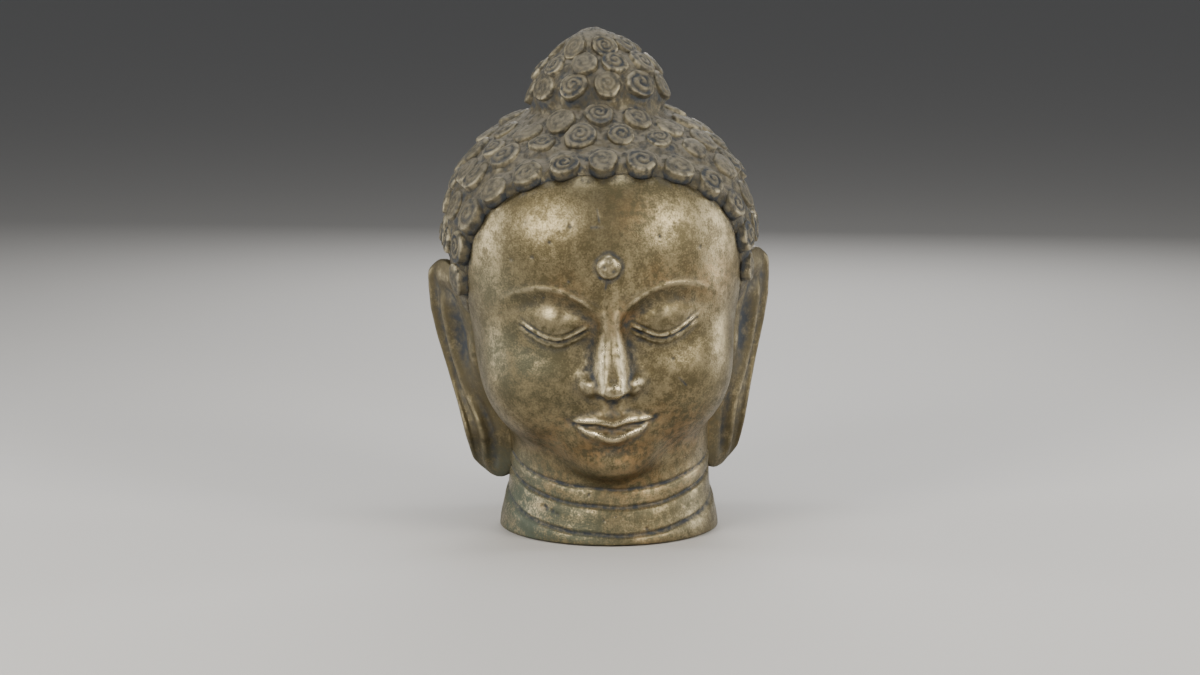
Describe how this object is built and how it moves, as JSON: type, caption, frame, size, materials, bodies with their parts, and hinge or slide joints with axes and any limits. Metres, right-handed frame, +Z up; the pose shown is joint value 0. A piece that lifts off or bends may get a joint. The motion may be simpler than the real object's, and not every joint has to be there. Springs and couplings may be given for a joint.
{
  "type": "bronze buddha head",
  "caption": "Cast bronze Buddha head with closed eyes, raised spiral curls, a domed top-knot, long-lobed ears and a flared neck cut flat below.",
  "frame": {"origin": "middle of the neck's flat underside", "axes": "+Z up through the top-knot, -Y the way the face looks, +X to the right of someone who faces it"},
  "size_m": [0.2064, 0.207, 0.3002],
  "materials": {
    "bronze": "Worn, aged bronze: olive brown and softly polished on the face, matt with sandy dust and dark blue-grey hollows in the hair, greenish patina low on the neck, small casting pits."
  },
  "bodies": {
    "root": {"buddha_head": "bronze"}
  },
  "joints": []
}
